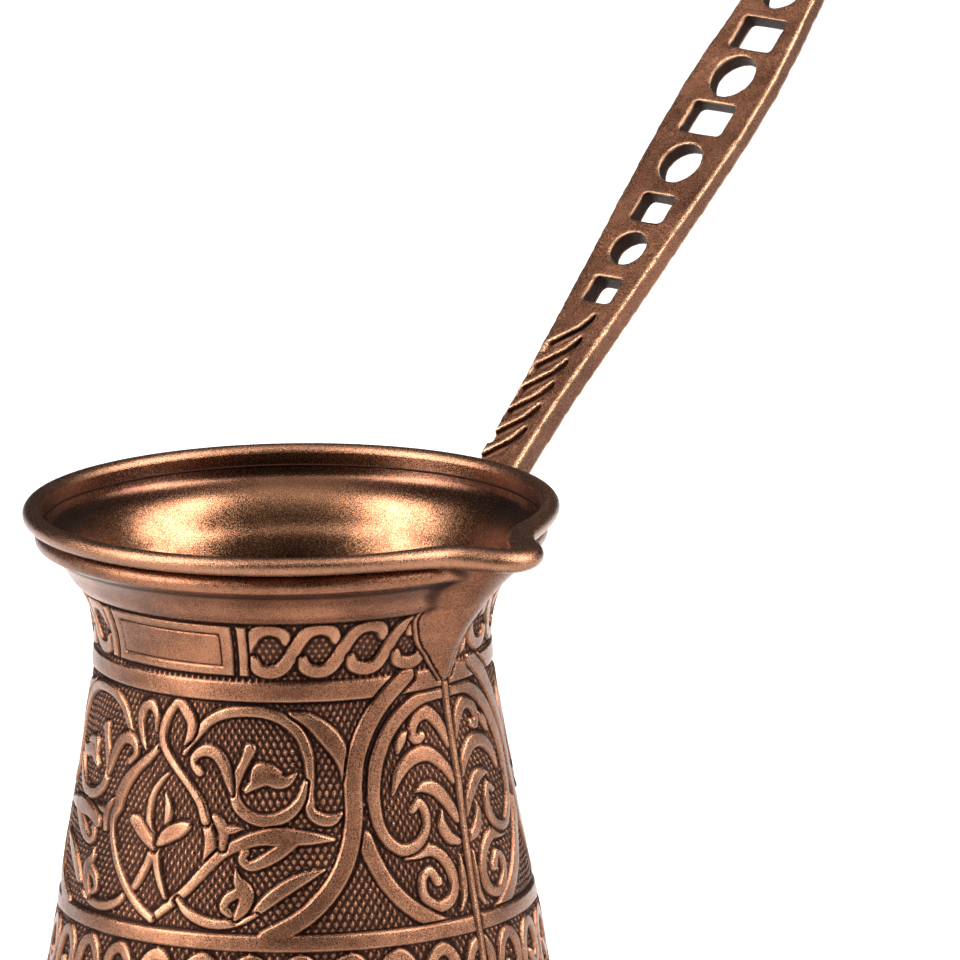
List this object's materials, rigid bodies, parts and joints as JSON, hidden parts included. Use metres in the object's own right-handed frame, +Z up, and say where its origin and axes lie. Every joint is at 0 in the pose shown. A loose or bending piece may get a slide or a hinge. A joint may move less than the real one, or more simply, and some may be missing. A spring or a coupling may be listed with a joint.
{
  "type": "coffee pot",
  "caption": "Small waisted copper coffee pot with a flared rim, a V-shaped pouring lip and a long pierced handle riveted to its neck.",
  "frame": {"origin": "middle of the flat base that the pot stands on", "axes": "+Z up along the pot's axis, +X towards the handle, -Y towards the pouring lip"},
  "size_m": [0.1934, 0.0926, 0.1838],
  "materials": {
    "engraved_copper": "antiqued satin copper, dark in the engraving",
    "cast_handle": "antiqued cast metal with worn edges",
    "rivets": "hammered copper"
  },
  "bodies": {
    "root": {"pot_body": "engraved_copper", "handle": "cast_handle", "rivet_upper_left": "rivets", "rivet_upper_right": "rivets", "rivet_lower": "rivets"}
  },
  "joints": []
}
